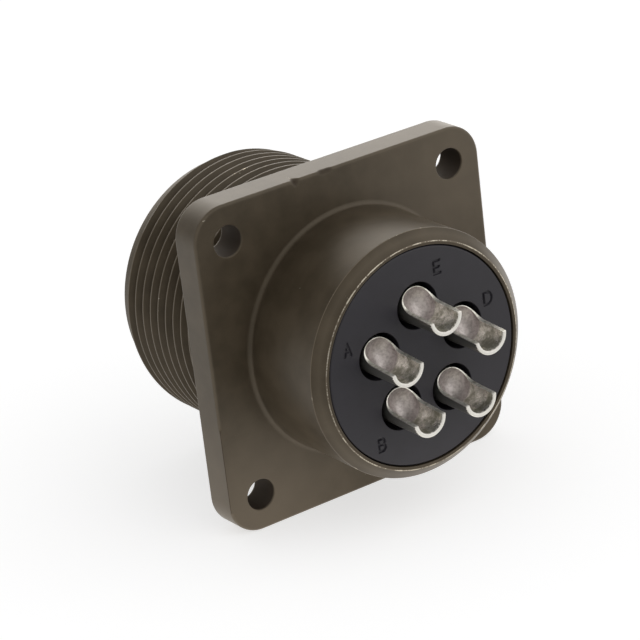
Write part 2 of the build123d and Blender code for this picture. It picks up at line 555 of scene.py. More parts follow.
@dataclass(frozen=True)
class MouldedThermoset:
    """Black glass filled thermoset, compression moulded.

    The die leaves an even satin skin, near black with a violet cast, with a faint grain from the
    filler.
    """

    name: str = "MouldedBlackThermoset"
    skin: str = "#27252a"
    skin_worn: str = "#2e2c33"
    roughness: float = 0.42
    ior: float = 1.5
    cloud_size: float = 1.8
    # The filler's fibres are about 0.01 mm thick. Their grain is drawn as coarse as it needs to show.
    grain_size: float = 0.12
    grain_height: float = 0.0015

    def material(self) -> bpy.types.Material:
        """Builds the node material.

        Returns:
            The material.
        """
        made, tree, where = new_material(self.name)
        cloud = add_node(tree, "TexNoise", pattern(where, self.cloud_size, 4.0))
        worn_skin = [(cloud, linear(self.skin_worn))]
        add_surface(
            tree,
            {
                "Base Color": layered(tree, Layering.COLOURS, linear(self.skin), worn_skin),
                "Roughness": self.roughness,
                "IOR": self.ior,
                "Normal": relief(tree, where, self.grain_size, self.grain_height),
            },
        )
        return made


@dataclass(frozen=True)
class SilverPlate:
    """Silver plate on a turned copper alloy contact, handled and slightly tarnished.

    It mirrors its surroundings in a soft, broken way, with tarnish in greenish grey clouds. The
    bottom of a solder cup is matt and a little pink. Edges and cut faces are frosted and almost
    white. The outside of a cup, which stands in its well, gets painted shade: a darker colour. A wear
    value of 1 is a cut face, one of -1 the bottom of a cup, and one of -2 its outside with the painted shade.
    """

    name: str = "TarnishedSilverPlate"
    bright: str = "#fffdf4"
    tarnish: str = "#b4b3a4"
    matt: str = "#d2cbc9"
    matt_dark: str = "#b2aaa8"
    frosted: str = "#fffcf4"
    # Painted shade on the outside of a cup, which stands in its well.
    outside: str = "#73726e"
    roughness: float = 0.27
    tarnish_roughness: float = 0.38
    matt_roughness: float = 0.4
    frosted_roughness: float = 0.5
    metallic: float = 0.92
    matt_metallic: float = 0.8
    frosted_metallic: float = 0.35
    # Tarnish gathers in clouds about a fifth of the cup's width, with flecks a third as wide.
    cloud_size: float = 0.8
    cloud_range: Pair = (0.42, 0.6)
    fleck_size: float = 0.28
    fleck_range: Pair = (0.42, 0.68)
    # The marks of tool and handling are finer than this and are drawn as coarse as they need to show.
    ripple_size: float = 0.3
    ripple_height: float = 0.014

    FULLY_CUT = 0.9
    FULLY_MATT = -0.9

    def material(self) -> bpy.types.Material:
        """Builds the node material.

        Returns:
            The material.
        """
        made, tree, where = new_material(self.name)
        worn = add_node(tree, "Attribute", attribute_name=WORN).outputs["Fac"]
        cut = add_node(tree, "MapRange", ramp(worn, 0.0, self.FULLY_CUT))
        matt = add_node(tree, "MapRange", ramp(worn, 0.0, self.FULLY_MATT))
        # Painted shade on the outside of the cup, where the wear value falls from -1 to -2.
        outside = add_node(tree, "MapRange", ramp(worn, -1.0, -2.0))
        clouds = []
        for size, limits in ((self.cloud_size, self.cloud_range), (self.fleck_size, self.fleck_range)):
            uneven = add_node(tree, "TexNoise", {**pattern(where, size, 4.0), "Roughness": 0.6})
            clouds.append(add_node(tree, "MapRange", ramp(uneven, *limits)))
        cloud, fleck = clouds
        bottom = layered(tree, Layering.COLOURS, linear(self.matt), [(fleck, linear(self.matt_dark))])
        colours = (
            (cloud, linear(self.tarnish)),
            (matt, bottom),
            (outside, linear(self.outside)),
            (cut, linear(self.frosted)),
        )
        roughnesses = (
            (cloud, self.tarnish_roughness),
            (matt, self.matt_roughness),
            (cut, self.frosted_roughness),
        )
        metals = ((matt, self.matt_metallic), (cut, self.frosted_metallic))
        add_surface(
            tree,
            {
                "Base Color": layered(tree, Layering.COLOURS, linear(self.bright), colours),
                "Metallic": layered(tree, Layering.NUMBERS, self.metallic, metals),
                "Roughness": layered(tree, Layering.NUMBERS, self.roughness, roughnesses),
                "Normal": relief(tree, where, self.ripple_size, self.ripple_height, 3.0),
            },
        )
        return made


@dataclass(frozen=True)
class SpringSteel:
    """Plain spring steel ring, coiled from flat wire and passivated.

    Grey and satin, with fine drawing lines that follow the wire round the ring.
    """

    name: str = "PassivatedSpringSteel"
    bright: str = "#b4b2ad"
    dull: str = "#8f8c86"
    roughness: float = 0.36
    # Drawing lines are about 0.02 mm wide and are drawn as coarse as they need to show.
    line_size: float = 0.09
    line_height: float = 0.003

    def material(self) -> bpy.types.Material:
        """Builds the node material.

        Returns:
            The material.
        """
        made, tree, where = new_material(self.name)
        place = add_node(tree, "SeparateXYZ", {0: where}).outputs
        flat = add_node(tree, "CombineXYZ", {0: place["X"], 1: place["Z"]})
        radius = add_node(tree, "VectorMath", {0: flat}, operation="LENGTH")
        across = add_node(tree, "CombineXYZ", {0: radius, 1: place["Y"]})
        lines = add_node(tree, "TexNoise", pattern(across, self.line_size, 2.0))
        bright_lines = [(lines, linear(self.bright))]
        height = {"Strength": 1.0, "Distance": self.line_height * MM, "Height": lines}
        add_surface(
            tree,
            {
                "Base Color": layered(tree, Layering.COLOURS, linear(self.dull), bright_lines),
                "Metallic": 1.0,
                "Roughness": self.roughness,
                "Normal": add_node(tree, "Bump", height),
            },
        )
        return made


@dataclass(frozen=True)
class Key:
    """Keyway or key lug at the top of a round outline."""

    half_width: float
    top: float

    def outline(self, radius: float, station: float, columns: int) -> list[Point]:
        """Round outline that steps out to the key at the top.

        Args:
            radius: Radius of the round part.
            station: Place along the axis.
            columns: Number of points on the round part.

        Returns:
            The points, in order round the axis.
        """
        side = asin(self.half_width / radius)
        start, sweep = pi / 2 + side, TURN - 2 * side
        arc = [on_circle(radius, start + sweep * i / (columns - 1), station) for i in range(columns)]
        return arc + [(self.half_width, station, self.top), (-self.half_width, station, self.top)]


@dataclass(frozen=True)
class EdgeMark:
    """Stretch of the flange's rear edge that was left sharp, or knocked flat, and gets painted shade: darker,
    duller film.
    """

    x: float
    z: float
    reach: float
    size: float
    worn: float

    RAMP = 0.35

    def share(self, x: float, z: float) -> float:
        """How far a place lies inside the mark, from 0 to 1."""
        return limited((self.reach - hypot(x - self.x, z - self.z)) / self.RAMP)


@dataclass
class PlatedShell:
    """One piece shell: square flange, rear barrel, threaded mating barrel and keyed bore."""

    flange_half: float = 17.25
    flange_thickness: float = 3.6
    corner_radius: float = 3.6
    edge_radius: float = 0.28
    hole_offset: float = 13.4875
    hole_radius: float = 1.6
    hole_edge: float = 0.12
    bore_radius: float = 11.2
    bore_edge: float = 0.08
    barrel_radius: float = 12.65
    barrel_end: float = -11.2
    barrel_chamfer: float = 1.1
    chamfer_inner_edge: float = 0.24
    chamfer_outer_edge: float = 0.16
    root_radius: float = 0.48
    relief_radius: float = 13.3
    relief_end: float = 5.2
    thread_radius: float = 14.25
    thread_root_radius: float = 13.4
    thread_pitch: float = 25.4 / 18
    first_crest: float = 20.711
    crest_width: float = 0.17
    crest_edge: float = 0.03
    lead_start: float = 20.2
    pilot_start: float = 21.3
    pilot_radius: float = 13.15
    rim: float = 22.65
    rim_edge: float = 0.2
    cavity_radius: float = 12.15
    cavity_edge: float = 0.3
    shoulder: float = 1.0
    groove_radius: float = 12.75
    groove_start: float = 9.0
    groove_end: float = 10.1
    keyway: Key = Key(1.2, 12.7)
    columns: int = 256
    edge_wear: float = 0.12
    handled_side_wear: float = 0.25
    # The walls of the flange's holes get painted shade.
    hole_painted_shade: float = -0.9
    bore_wear: float = 0.3
    crest_wear: float = 0.27
    run_out_wear: float = 0.1
    rim_wear: float = 0.6
    foot_wear: float = 0.04
    chamfer_inner_wear: float = 1.15
    chamfer_wear: float = 0.14
    chamfer_outer_wear: float = 0.5
    # Marks with painted shade: a dark crease low on the left edge, and two dents at the top.
    edge_marks: tuple[EdgeMark, ...] = (
        EdgeMark(-17.25, -9.8, 4.6, 0.06, -0.8),
        EdgeMark(-5.0, 17.25, 0.5, 0.8, -0.9),
        EdgeMark(-1.4, 17.25, 0.9, 0.5, -0.7),
    )
    finish: OliveDrabPlate = OliveDrabPlate()

    EDGE_STEPS = 4
    FLAT_MARGIN = 0.12
    SIDE_STEPS = 110
    CORNER_STEPS = 14
    HOLE_COLUMNS = 40
    HOLE_ROUNDING_SHARE = 0.9
    BARREL_STEPS = 6
    FLANK_ANGLE = radians(30)
    # Rounded edge of a crest: steps outwards and down, in crest edges, and the share of its wear.
    CREST_ROUNDING = ((-1.0, 0.0, 1.0), (0.0, 0.3, 1.0), (1.0, 2.0, 0.0))
    SPARE_TURNS = 2
    TAIL = 0.05

    @property
    def ramp_start(self) -> float:
        """Station where the relief groove starts to rise to the thread."""
        return self.relief_end - (self.thread_radius - self.relief_radius)

    def edge_at(self, x: float, z: float) -> Pair:
        """Shape of the rear edge of the flange at a place.

        Args:
            x: Place on the flange's outline.
            z: Place on the flange's outline.

        Returns:
            The radius of the edge and its wear.
        """
        radius = self.edge_radius
        worn = self.handled_side_wear if x < -self.flange_half + self.corner_radius / 2 else self.edge_wear
        for mark in self.edge_marks:
            share = mark.share(x, z)
            radius += (mark.size - self.edge_radius) * share
            worn += (mark.worn - worn) * share
        return radius, worn

    def flange_sides(self) -> list[tuple[float, float, float, float]]:
        """Places round the rounded square from which its edge is drawn outwards.

        Returns:
            X and Z of each place, a corner's radius inside the flange, and of the way outwards.
        """
        places = []
        centre = self.flange_half - self.corner_radius
        reach = 2 * centre / self.SIDE_STEPS
        for corner in range(4):
            spin = pi / 2 * corner
            x, z = (sqrt(2) * centre * f(pi / 4 + spin) for f in (cos, sin))
            turns = [spin + pi / 2 * step / self.CORNER_STEPS for step in range(self.CORNER_STEPS + 1)]
            places += [(x, z, cos(a), sin(a)) for a in turns]
            out_x, out_z = cos(turns[-1]), sin(turns[-1])
            for step in range(1, self.SIDE_STEPS):
                places.append((x - out_z * reach * step, z + out_x * reach * step, out_x, out_z))
        return places

    def flange_outline(self, turned: float, front: bool, inset: float) -> tuple[list[Point], list[float]]:
        """Rounded square at one step of the rounding of the flange's edges.

        Args:
            turned: How far the rounding has turned from the face to the sides, from 0 to 1.
            front: Whether it is on the mating side.
            inset: How far it lies inside the rounding, on the flat face.

        Returns:
            The points, in order round the axis, and their wear.
        """
        angle = pi / 2 * turned
        points, wear = [], []
        for x, z, out_x, out_z in self.flange_sides():
            radius, worn = self.edge_radius, self.edge_wear
            if not front:
                radius, worn = self.edge_at(x + self.corner_radius * out_x, z + self.corner_radius * out_z)
            out = self.corner_radius - radius * (1 - sin(angle)) - inset
            depth = radius * (1 - cos(angle))
            station = self.flange_thickness - depth if front else depth
            points.append((x + out * out_x, station, z + out * out_z))
            wear.append(worn * sin(pi * turned))
        return points, wear

    def draw_flange(self, draft: Draft, rear_ring: Loop, front_ring: Loop) -> None:
        """Draws the flange between the rings where the two barrels meet it.

        Args:
            draft: Mesh that is being drawn.
            rear_ring: Loop at the foot of the rear barrel.
            front_ring: Loop at the foot of the mating barrel.
        """
        loops = []
        rear_steps = [(0.0, self.FLAT_MARGIN)]
        rear_steps += [(step / self.EDGE_STEPS, 0.0) for step in range(self.EDGE_STEPS + 1)]
        for front, steps in ((False, rear_steps), (True, rear_steps[::-1])):
            for turned, inset in steps:
                points, wear = self.flange_outline(turned, front, inset)
                loops.append([draft.add(point, worn) for point, worn in zip(points, wear)])
        draft.skin(loops)
        edge, wall, thickness = self.hole_edge, self.hole_radius, self.flange_thickness
        rounding = self.HOLE_ROUNDING_SHARE * edge
        profile = rounded_profile(
            (
                Corner(wall + edge, 0),
                Corner(wall, 0, rounding, self.edge_wear),
                Corner(wall, 2 * edge, worn=self.hole_painted_shade),
                Corner(wall, thickness - 2 * edge, worn=self.hole_painted_shade),
                Corner(wall, thickness, rounding, self.edge_wear),
                Corner(wall + edge, thickness),
            )
        )
        sides = (-self.hole_offset, self.hole_offset)
        holes = [draft.turn(profile, self.HOLE_COLUMNS, (x, z)) for x in sides for z in sides]
        draft.fill(loops[0], rear_ring, *(rear for rear, _ in holes))
        draft.fill(loops[-1], front_ring, *(front for _, front in holes))

    def thread_rows(self) -> Profile:
        """Rows of one pitch of the thread.

        Returns:
            Offset from the crest's middle, radius and wear of each row.
        """
        half = self.crest_width / 2
        depth = self.thread_radius - self.thread_root_radius
        foot = half + depth * tan(self.FLANK_ANGLE)
        edge = self.crest_edge
        side = [
            (half + across * edge, self.thread_radius - down * edge, worn)
            for across, down, worn in self.CREST_ROUNDING
        ]
        side += [
            ((half + foot) / 2, self.thread_radius - depth / 2, 0.0),
            (foot, self.thread_root_radius, 0.0),
        ]
        return [(-offset, r, w) for offset, r, w in reversed(side)] + side

    def draw_thread(self, draft: Draft) -> None:
        """Draws the right hand thread from the relief groove to the lead chamfer.

        Spare turns past both ends are pressed onto them, so that every column starts and stops there.

        Args:
            draft: Mesh that is being drawn.
        """
        rows = self.thread_rows()
        start, end = self.ramp_start, self.pilot_start
        turns = int((end - start) / self.thread_pitch) + 1
        grid = []
        for column in range(self.columns):
            turned = column / self.columns
            line = []
            for turn in range(-self.SPARE_TURNS, turns + self.SPARE_TURNS):
                crest = self.first_crest - self.thread_pitch * (turn + turned)
                for offset, radius, worn in rows:
                    station = min(max(crest - offset, start), end)
                    rising = self.relief_radius + station - start
                    limit = min(rising, self.thread_radius - station + self.lead_start)
                    cut = max(min(radius, limit), self.pilot_radius)
                    wear = self.crest_wear * worn if radius <= limit else self.run_out_wear
                    line.append(draft.add(on_circle(cut, TURN * turned, station), wear))
            grid.append(line)
        draft.skin(grid, closed=False)
        draft.strip(grid[-1][: -len(rows)], grid[0][len(rows) :], closed=False)

    def draw_bores(self, draft: Draft, rim_ring: Loop, rear_ring: Loop) -> None:
        """Draws the keyed mating bore from the rim down to the shoulder.

        Args:
            draft: Mesh that is being drawn.
            rim_ring: Loop at the outer edge of the rim.
            rear_ring: Loop where the rear bore meets the shoulder.
        """
        steps = (
            (self.cavity_radius + self.cavity_edge, self.rim, self.bore_wear),
            (self.cavity_radius, self.rim - self.cavity_edge, self.bore_wear),
            (self.cavity_radius, self.rim - 2 * self.cavity_edge, 0.0),
            (self.cavity_radius, self.groove_end, 0.0),
            (self.groove_radius, self.groove_end, 0.0),
            (self.groove_radius, self.groove_start, 0.0),
            (self.cavity_radius, self.groove_start, 0.0),
            (self.cavity_radius, self.shoulder, 0.0),
        )
        loops = [
            draft.loop(self.keyway.outline(radius, station, self.columns), worn)
            for radius, station, worn in steps
        ]
        draft.skin(loops)
        draft.fill(rim_ring, loops[0])
        draft.fill(loops[-1], rear_ring)

    def draw_rear_barrel(self, draft: Draft) -> tuple[Loop, Loop]:
        """Draws the rear barrel with its bore, its chamfer and its rounded foot.

        Args:
            draft: Mesh that is being drawn.

        Returns:
            The loop in the bore at the shoulder, and the one on the flange round the foot.
        """
        end, chamfer, outer = self.barrel_end, self.barrel_chamfer, self.barrel_radius
        profile = rounded_profile(
            (
                Corner(self.bore_radius, self.shoulder),
                Corner(self.bore_radius, end, self.bore_edge, self.bore_wear),
                Corner(outer - chamfer, end, self.chamfer_inner_edge, self.chamfer_inner_wear),
                Corner(outer - chamfer / 2, end + chamfer / 2, worn=self.chamfer_wear),
                Corner(outer, end + chamfer, self.chamfer_outer_edge, self.chamfer_outer_wear),
                Corner(outer, 0, self.root_radius, self.foot_wear),
                Corner(outer + self.root_radius + self.TAIL, 0),
            ),
            self.BARREL_STEPS,
        )
        return draft.turn(profile, self.columns)

    def build(self) -> bpy.types.Object:
        """Draws the shell and puts it in the place of its plain solid.

        Returns:
            The piece.
        """
        draft = Draft()
        shoulder_ring, rear_ring = self.draw_rear_barrel(draft)
        groove = [(self.relief_radius, station, 0.0) for station in (self.flange_thickness, self.ramp_start)]
        front_ring, _ = draft.turn(groove, self.columns)
        self.draw_thread(draft)
        pilot = rounded_profile(
            (
                Corner(self.pilot_radius, self.pilot_start),
                Corner(self.pilot_radius, self.rim, self.rim_edge, self.rim_wear),
                Corner(self.pilot_radius - self.rim_edge - self.TAIL, self.rim),
            )
        )
        _, rim_ring = draft.turn(pilot, self.columns)
        self.draw_bores(draft, rim_ring, shoulder_ring)
        self.draw_flange(draft, rear_ring, front_ring)
        piece = draft.close("plated_shell", self.finish.material())
        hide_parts("shell")
        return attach(piece, "root")


@dataclass(frozen=True)
class Lettering:
    """Plain block letters that name the contact positions, moulded into the insulator's faces."""

    height: float = 1.3
    width: float = 0.76
    stroke: float = 0.24
    depth: float = 0.2
    softness: float = 0.035
    margin: float = 0.16
    cell: float = 0.045

    BOW_TURNS = range(90, -91, -20)
    RING_TURNS = range(52, 309, 16)

    def bow(self, left: float, right: float, top: float, bottom: float) -> Stroke:
        """Half round stroke of a letter, open to the left.

        Args:
            left: Where the straight ends of the stroke start.
            right: Furthest point of the bow.
            top: Height of the upper end.
            bottom: Height of the lower end.

        Returns:
            The points of the stroke.
        """
        radius, middle = (top - bottom) / 2, (top + bottom) / 2
        bend = right - radius
        turns = (radians(turn) for turn in self.BOW_TURNS)
        round_part = [(bend + radius * cos(a), middle + radius * sin(a)) for a in turns]
        return [(left, top), *round_part, (left, bottom)]

    def strokes(self, letter: str) -> list[Stroke]:
        """Strokes of a letter about its middle, in millimetres.

        Args:
            letter: One of the letters from a to e.

        Returns:
            The strokes, each a line of points.
        """
        w, h = self.width / 2, self.height / 2
        ring = [(w * cos(radians(turn)), h * sin(radians(turn))) for turn in self.RING_TURNS]
        return {
            "a": [[(-w, -h), (0, h), (w, -h)], [(-0.62 * w, -0.28 * h), (0.62 * w, -0.28 * h)]],
            "b": [[(-w, h), (-w, -h)], self.bow(-w, 0.85 * w, h, 0.06 * h), self.bow(-w, w, 0.06 * h, -h)],
            "c": [ring],
            "d": [[(-w, h), (-w, -h)], self.bow(-w, w + 0.2, h, -h)],
            "e": [[(w, h), (-w, h), (-w, -h), (w, -h)], [(-w, 0), (0.7 * w, 0)]],
        }[letter]

    def depth_at(self, strokes: list[Stroke], x: float, z: float) -> float:
        """Depth of the letter at a point.

        Args:
            strokes: Strokes of the letter.
            x: Place across, from the letter's middle.
            z: Place upwards, from the letter's middle.

        Returns:
            The depth, from 0 outside the strokes to the full depth inside them.
        """
        lines = (line for stroke in strokes for line in pairwise(stroke))
        nearest = min(distance_to_segment(x, z, start, end) for start, end in lines)
        return self.depth * eased((self.stroke / 2 + self.softness - nearest) / (2 * self.softness))

    def draw(self, draft: Draft, letter: str, place: Pair, station: float, outward: float) -> Loop:
        """Draws the patch of face that holds a letter.

        Args:
            draft: Mesh that is being drawn.
            letter: One of the letters from a to e.
            place: X and Z of the letter's middle.
            station: Place of the face.
            outward: Direction along Y that the face looks in, 1 or -1.

        Returns:
            The loop round the patch.
        """
        strokes = self.strokes(letter)
        half_width = self.width / 2 + self.stroke + self.margin
        half_height = self.height / 2 + self.stroke / 2 + self.margin
        columns = round(2 * half_width / self.cell)
        rows = round(2 * half_height / self.cell)
        grid = []
        for row in range(rows + 1):
            dz = half_height * (2 * row / rows - 1)
            line = []
            for column in range(columns + 1):
                dx = half_width * (2 * column / columns - 1)
                depth = self.depth_at(strokes, -outward * dx, dz)
                point = place[0] + dx, station - outward * depth, place[1] + dz
                line.append(draft.add(point, depth / self.depth))
            grid.append(line)
        draft.skin(grid, closed=False)
        right = [line[-1] for line in grid[1:-1]]
        left = [line[0] for line in reversed(grid[1:-1])]
        return grid[0] + right + grid[-1][::-1] + left


class Half(Enum):
    """The two halves of the insulator."""

    REAR = "rear"
    MATING = "mating"


@dataclass
class Insulator:
    """Moulded insulator: two halves that hold the five contacts."""

    contacts: dict[str, Pair]
    letter_places: dict[str, Pair] = field(
        default_factory=lambda: {
            "a": (-8.6, 3.5),
            "b": (-5.9, -7.4),
            "c": (5.7, -7.4),
            "d": (8.35, 3.4),
            "e": (2.75, 8.45),
        }
    )
    rear_face: float = -11.1
    rear_radius: float = 11.1
    edge_radius: float = 0.2
    edge_margin: float = 0.24
    shoulder: float = 1.0
    split: float = 3.0
    rim_radius: float = 12.05
    well_radius: float = 2.38
    well_bottom: float = -4.1
    well_edge: float = 0.08
    well_margin: float = 0.1
    well_rounding: float = 0.15
    cup_hole_radius: float = 1.93
    front_face: float = 9.0
    pocket_radius: float = 2.26
    pocket_bottom: float = 4.6
    shank_hole_radius: float = 1.66
    countersink: float = 0.3
    key: Key = Key(1.1, 12.6)
    columns: int = 192
    hole_columns: int = 48
    lettering: Lettering = Lettering()
    finish: MouldedThermoset = MouldedThermoset()

    def draw_holes(self, draft: Draft, profile: Profile) -> tuple[list[Loop], list[Loop]]:
        """Draws the same hole at each contact.

        Args:
            draft: Mesh that is being drawn.
            profile: Radius, station and wear of each point of the hole's wall.

        Returns:
            The first loops and the last loops of the holes.
        """
        ends = [draft.turn(profile, self.hole_columns, centre) for centre in self.contacts.values()]
        return [first for first, _ in ends], [last for _, last in ends]

    def draw_letters(self, draft: Draft, station: float, outward: float) -> list[Loop]:
        """Draws the contact letters on a face.

        Args:
            draft: Mesh that is being drawn.
            station: Place of the face.
            outward: Direction along Y that the face looks in, 1 or -1.

        Returns:
            The loops round the letters' patches.
        """
        places = self.letter_places.items()
        return [self.lettering.draw(draft, letter, place, station, outward) for letter, place in places]

    def draw_rear(self, draft: Draft) -> None:
        """Draws the half with the wells of the solder cups.

        Args:
            draft: Mesh that is being drawn.
        """
        side = rounded_profile(
            (
                Corner(self.rear_radius - self.edge_margin, self.rear_face),
                Corner(self.rear_radius, self.rear_face, self.edge_radius),
                Corner(self.rear_radius, self.shoulder),
            )
        )
        face_ring, step_ring = draft.turn(side, self.columns)
        well = rounded_profile(
            (
                Corner(self.well_radius + self.well_margin, self.rear_face),
                Corner(self.well_radius, self.rear_face, self.well_edge),
                Corner(self.well_radius, self.well_bottom, self.well_rounding),
                Corner(self.cup_hole_radius, self.well_bottom),
                Corner(self.cup_hole_radius, self.split),
            )
        )
        wells, holes = self.draw_holes(draft, well)
        stations = (self.shoulder, self.split)
        rim = [draft.loop(self.key.outline(self.rim_radius, station, self.columns)) for station in stations]
        draft.strip(*rim)
        draft.fill(rim[0], step_ring)
        draft.fill(rim[1], *holes)
        draft.fill(face_ring, *wells, *self.draw_letters(draft, self.rear_face, -1.0))

    def draw_mating(self, draft: Draft) -> None:
        """Draws the half that the pins stand out of.

        Args:
            draft: Mesh that is being drawn.
        """
        side = rounded_profile(
            (
                Corner(self.rim_radius, self.split),
                Corner(self.rim_radius, self.front_face, self.edge_radius),
                Corner(self.rim_radius - self.edge_margin, self.front_face),
            )
        )
        loops = []
        for radius, station, _ in side:
            key = Key(self.key.half_width, self.key.top - self.rim_radius + radius)
            loops.append(draft.loop(key.outline(radius, station, self.columns)))
        draft.skin(loops)
        hole = [
            (self.pocket_radius, self.split, 0.0),
            (self.pocket_radius, self.pocket_bottom, 0.0),
            (self.shank_hole_radius, self.pocket_bottom, 0.0),
            (self.shank_hole_radius, self.front_face - self.countersink, 0.0),
            (self.shank_hole_radius + self.countersink, self.front_face, 0.0),
        ]
        pockets, mouths = self.draw_holes(draft, hole)
        draft.fill(loops[0], *pockets)
        draft.fill(loops[-1], *mouths, *self.draw_letters(draft, self.front_face, 1.0))

    def build(self) -> list[bpy.types.Object]:
        """Draws both halves and puts them in the place of their plain solids.

        Returns:
            The two pieces.
        """
        material = self.finish.material()
        pieces = []
        for half, draw, node in (
            (Half.REAR, self.draw_rear, "rear_insert"),
            (Half.MATING, self.draw_mating, "front_insert"),
        ):
            draft = Draft()
            draw(draft)
            piece = draft.close(f"{half.value}_insulator", material)
            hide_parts(node)
            pieces.append(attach(piece, "root"))
        return pieces


@dataclass
class Contact:
    """Turned contact: scooped solder cup, collar, shank and pin.

    In the cup, a depth is a distance from its tip, and a height one from its axis to its opening.
    """

    letter: str
    centre: Pair
    opening: float = radians(94)
    tip: float = -15.7
    cup_radius: float = 1.87
    bore_radius: float = 1.47
    straight_bore: float = 3.5
    floor_start: float = -0.1
    floor_end: float = 0.15
    floor_length: float = 3.15
    scoop_radius: float = 1.9
    collar_start: float = 3.0
    collar_end: float = 4.6
    collar_radius: float = 2.2
    collar_edge: float = 0.15
    shank_radius: float = 1.6
    shank_end: float = 9.0
    shank_edge: float = 0.06
    pin_radius: float = 1.195
    pin_end: float = 20.25
    pin_root: float = 0.2
    pin_rounding: float = 0.9
    bowl_depth: float = 1.2
    lip: float = 0.07
    tip_rounding: float = 0.1
    rim_wear: float = 0.2
    tip_wear: float = 1.0
    bowl_wear: float = -1.0
    # The outside of the cup gets painted shade, for the shade of its well.
    outside_painted_shade: float = -2.0
    edge_break: float = 0.045
    columns: int = 56

    SIDE_STATIONS = 10
    SCOOP_STATIONS = 22
    BACK_STATIONS = 4
    TIP_STEPS = 3
    BAR_STEPS = 8
    HALVINGS = 40

    def cut_height(self, depth: float) -> float:
        """Height of the opening's edge. The floor rises evenly and then curves up in a round.

        Args:
            depth: Distance from the tip.

        Returns:
            The height.
        """
        if depth <= self.floor_length:
            return self.floor_start + (self.floor_end - self.floor_start) * depth / self.floor_length
        return self.floor_end + self.scoop_radius - half_chord(self.scoop_radius, depth - self.floor_length)

    def depth_of_cut(self, height: float) -> float:
        """Depth at which the round end of the opening reaches a height."""
        return self.floor_length + half_chord(self.scoop_radius, self.floor_end + self.scoop_radius - height)

    def rim_radius(self, depth: float) -> float:
        """Radius of the inner edge of the opening, wider towards the thin lip at its back.

        Args:
            depth: Distance from the tip.

        Returns:
            The radius.
        """
        back = self.depth_of_cut(self.cup_radius)
        widening = self.cup_radius - self.lip - self.bore_radius
        return self.bore_radius + widening * eased((depth - self.straight_bore) / (back - self.straight_bore))

    def inner_end(self) -> float:
        """Depth at which the opening's two inner edges meet at the back of the bowl.

        Returns:
            The depth.
        """
        low, high = self.straight_bore, self.depth_of_cut(self.cup_radius)
        for _ in range(self.HALVINGS):
            middle = (low + high) / 2
            if self.cut_height(middle) < self.rim_radius(middle):
                low = middle
            else:
                high = middle
        return low

    def place(self, height: float, side: float, depth: float) -> Point:
        """Turns a place in the cup into a point in the frame.

        Args:
            height: Distance above the axis, towards the opening.
            side: Distance to the side of the axis.
            depth: Distance from the tip.

        Returns:
            The point.
        """
        x = self.centre[0] + height * cos(self.opening) - side * sin(self.opening)
        z = self.centre[1] + height * sin(self.opening) + side * cos(self.opening)
        return x, self.tip + depth, z

    def arc(self, draft: Draft, radius: float, depth: float, cut: bool, worn: float = 0.0) -> Loop:
        """Adds a row of points round a wall, from one side of the opening to the other.

        Args:
            draft: Mesh that is being drawn.
            radius: Radius of the wall.
            depth: Distance from the tip.
            cut: Whether the opening still cuts the wall here.
            worn: Wear value of the row.

        Returns:
            Numbers of the points.
        """
        height = min(self.cut_height(depth), radius) if cut else radius
        start = acos(height / radius) if radius else 0.0
        angles = (start + (TURN - 2 * start) * i / self.columns for i in range(self.columns + 1))
        row = draft.loop((self.place(radius * cos(a), radius * sin(a), depth) for a in angles), worn)
        if cut and worn <= 0:
            draft.worn[row[0]] = draft.worn[row[-1]] = self.rim_wear
        return row

    def tip_bead(self) -> list[Pair]:
        """Rounded end of the cup's wall.

        Returns:
            Radius and depth of each row of points, from the bore outwards.
        """
        turns = [pi / 2 * i / self.TIP_STEPS for i in range(self.TIP_STEPS + 1)]
        rounding = [(self.tip_rounding * (1 - cos(a)), self.tip_rounding * (1 - sin(a))) for a in turns]
        inner = [(self.bore_radius + across, depth) for across, depth in rounding]
        return inner + [(self.cup_radius - across, depth) for across, depth in reversed(rounding)]

    def bowl_middle(self, share: float) -> Pair:
        """Point on the bowl's middle line, which is an arc of a circle.

        Args:
            share: 0 where the straight bore ends and 1 at the lip at the back.

        Returns:
            Height above the axis and depth from the tip.
        """
        back = self.inner_end()
        floor = Vector((-self.bore_radius, self.straight_bore))
        chord = Vector((self.cut_height(back), back)) - floor
        half = chord.length / 2
        inward = Vector((-chord.y, chord.x)) / chord.length
        radius = (half**2 + self.bowl_depth**2) / (2 * self.bowl_depth)
        centre = floor + chord / 2 + inward * (self.bowl_depth - radius)
        turned = (2 * share - 1) * atan2(half, radius - self.bowl_depth)
        spot = centre + radius * (inward * cos(turned) + chord.normalized() * sin(turned))
        return spot.x, spot.y

    def bowl_row(self, draft: Draft, depth: float, share: float) -> Loop:
        """Adds a row of points across the bowl, from one edge of the opening to the other.

        Args:
            draft: Mesh that is being drawn.
            depth: Depth of the opening's edge at the row's ends.
            share: How far the row has come from the straight bore to the back.

        Returns:
            Numbers of the points.
        """
        height = self.cut_height(depth)
        width = half_chord(self.rim_radius(depth), height)
        middle_height, middle_depth = self.bowl_middle(share)
        points = []
        for i in range(self.columns + 1):
            turned = pi * i / self.columns
            down = sin(turned)
            up = height + (middle_height - height) * down
            along = depth + (middle_depth - depth) * down
            points.append(self.place(up, width * cos(turned), along))
        row = draft.loop(points, self.bowl_wear)
        draft.worn[row[0]] = draft.worn[row[-1]] = self.rim_wear
        return row

    def cut_rows(self, draft: Draft, depth: float, count: int) -> tuple[Loop, Loop]:
        """Adds a row of points across the cut wall on each side of the opening.

        Args:
            draft: Mesh that is being drawn.
            depth: Distance from the tip.
            count: Number of points in a row.

        Returns:
            Numbers of the points of the two rows.
        """
        height = self.cut_height(depth)
        wide = half_chord(self.cup_radius, height)
        narrow = half_chord(self.rim_radius(depth), height)
        sides = [narrow + (wide - narrow) * i / (count - 1) for i in range(count)]
        one, other = (
            draft.loop((self.place(height, sign * side, depth) for side in sides), self.rim_wear)
            for sign in (1, -1)
        )
        return one, other

